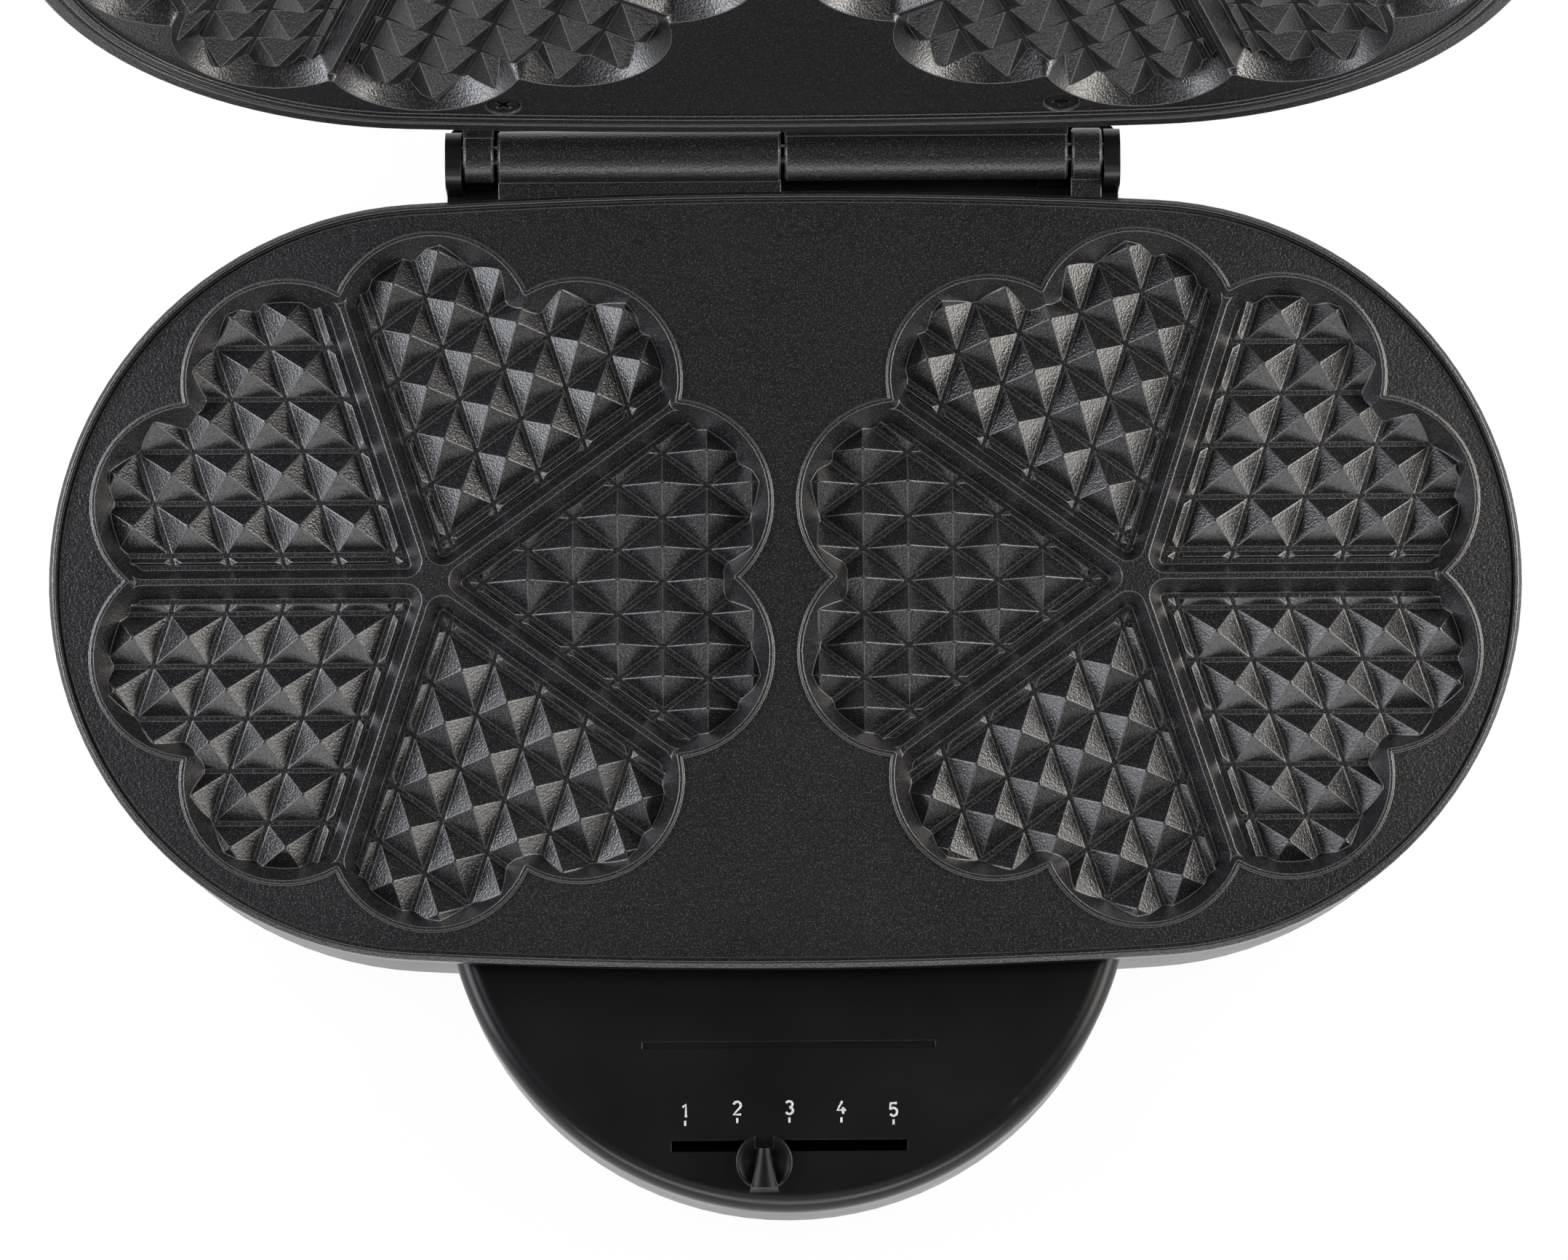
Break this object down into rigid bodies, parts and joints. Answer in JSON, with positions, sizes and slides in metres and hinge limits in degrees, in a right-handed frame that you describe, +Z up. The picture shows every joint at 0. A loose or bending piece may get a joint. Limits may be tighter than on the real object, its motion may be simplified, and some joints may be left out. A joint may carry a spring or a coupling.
{
  "type": "waffle maker",
  "caption": "Oval double waffle maker with coated heart-mould plates, a hinged lid that stands open and a front browning slider.",
  "frame": {"origin": "on the table, under the middle of the part's box with the lid open", "axes": "+X along the hinge to the right of someone at the control panel, +Y towards the hinge, +Z up"},
  "size_m": [0.3422, 0.3318, 0.254],
  "materials": {
    "nonstick_casting": "cast aluminium with a satin black non-stick coating",
    "heater_sheath": "annealed steel sheath",
    "plated_steel": "zinc-plated",
    "blackened_steel": "blackened",
    "aluminised_sheet": "aluminised sheet",
    "painted_shell": "drawn steel with a satin black stove paint",
    "black_plastic": "fine-grained matte black",
    "black_rubber": "moulded",
    "white_nylon": "moulded",
    "switch_resin": "moulded",
    "copper_tube": "drawn",
    "lead_sleeving": "glass-fibre sleeving"
  },
  "bodies": {
    "base": {"lower_plate": "nonstick_casting", "lower_heater": "heater_sheath", "lower_heater_pins": "plated_steel", "lower_heater_clamps": "plated_steel", "lower_heat_shield": "aluminised_sheet", "base_housing": "black_plastic", "hinge_housing": "black_plastic", "base_pan": "black_plastic", "control_panel": "black_plastic", "cord_gland": "black_rubber", "hinge_pin": "blackened_steel", "rubber_feet": "black_rubber", "plate_screws": "plated_steel", "pan_screws": "plated_steel", "thermostat_screws": "plated_steel", "thermostat_body": "switch_resin", "terminal_block": "switch_resin", "thermostat_capillary": "copper_tube", "thermal_fuse": "plated_steel", "base_leads": "lead_sleeving"},
    "lid": {"handle_screws": "plated_steel", "lid_handle": "black_plastic", "lid_housing": "painted_shell", "lid_spacers": "plated_steel", "upper_heat_shield": "aluminised_sheet", "upper_heater": "heater_sheath", "upper_heater_clamps": "plated_steel", "upper_heater_pins": "plated_steel", "upper_plate": "nonstick_casting", "upper_plate_screws": "blackened_steel", "upper_shield_screws": "plated_steel"},
    "slider": {"slider_knob": "black_plastic", "slider_carriage": "white_nylon"},
    "thermostat_spindle": {"thermostat_pinion": "white_nylon"}
  },
  "joints": [
    {"name": "lid_hinge", "type": "hinge", "parent": "base", "child": "lid", "pos_m": [0, 0.08048, 0.04805], "axis": [1, 0, 0], "range_deg": [0, 106.6]},
    {"name": "browning_slide", "type": "slide", "parent": "base", "child": "slider", "axis": [1, 0, 0], "range_m": [-0.01826, 0.02994]},
    {"name": "spindle_turn", "type": "hinge", "parent": "base", "child": "thermostat_spindle", "pos_m": [0, -0.12034, 0.047], "axis": [0, 0, 1], "range_deg": [-105.6, 172.57]}
  ],
  "couplings": [
    {"joint": "spindle_turn", "follows": "browning_slide", "rad_per_m": 100}
  ]
}
